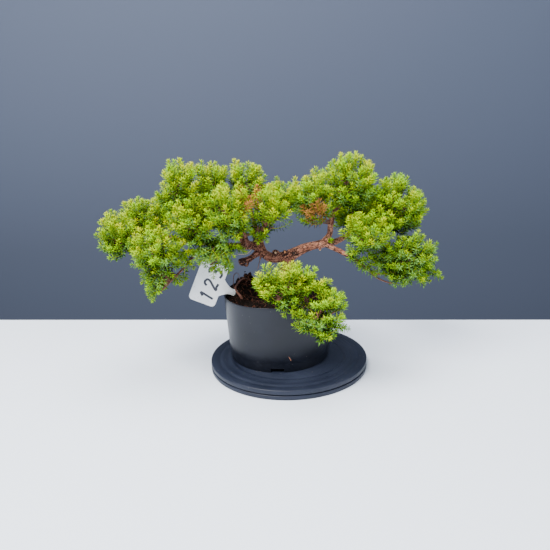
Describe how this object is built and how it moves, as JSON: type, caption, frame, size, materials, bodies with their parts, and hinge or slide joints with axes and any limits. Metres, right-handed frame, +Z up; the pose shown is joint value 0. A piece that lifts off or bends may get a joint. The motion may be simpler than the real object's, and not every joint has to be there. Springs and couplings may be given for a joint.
{
  "type": "juniper bonsai in a plastic pot",
  "caption": "Small juniper bonsai with a forked trunk and plumes of needles, in a round plastic pot with a plant label, standing on a flat round turntable.",
  "frame": {"origin": "centre of the turntable's flat underside", "axes": "+Z up; +X along the crown's longest reach, to the right when the plant label is on the left; +Y away from that side"},
  "size_m": [0.4663, 0.2348, 0.2939],
  "materials": {
    "turntable_plastic": "satin",
    "pot_plastic": "satin",
    "peat": "matte",
    "label_plastic": "satin",
    "bark": "matte",
    "needles": "matte"
  },
  "bodies": {
    "root": {"back_bough": "bark", "back_mass": "needles", "dead_stub": "bark", "front_bough": "bark", "front_high_mass": "needles", "front_low_mass": "needles", "left_back_bough": "bark", "left_back_mass": "needles", "left_bough": "bark", "left_far_bough": "bark", "left_hanging_mass": "needles", "left_low_mass": "needles", "left_middle_mass": "needles", "left_near_bough": "bark", "left_shoulder_mass": "needles", "left_tip_mass": "needles", "left_top_bough": "bark", "left_top_mass": "needles", "left_under_mass": "needles", "middle_top_bough": "bark", "near_middle_mass": "needles", "near_right_mass": "needles", "plant_label": "label_plastic", "pot": "pot_plastic", "right_back_bough": "bark", "right_back_mass": "needles", "right_bough": "bark", "right_low_bough": "bark", "right_low_mass": "needles", "right_mass": "needles", "right_near_mass": "needles", "right_top_bough": "bark", "right_top_mass": "needles", "right_top_near_mass": "needles", "soil": "peat", "top_left_mass": "needles", "top_middle_mass": "needles", "trunk": "bark", "turntable_base": "turntable_plastic", "turntable_top": "turntable_plastic"}
  },
  "joints": []
}
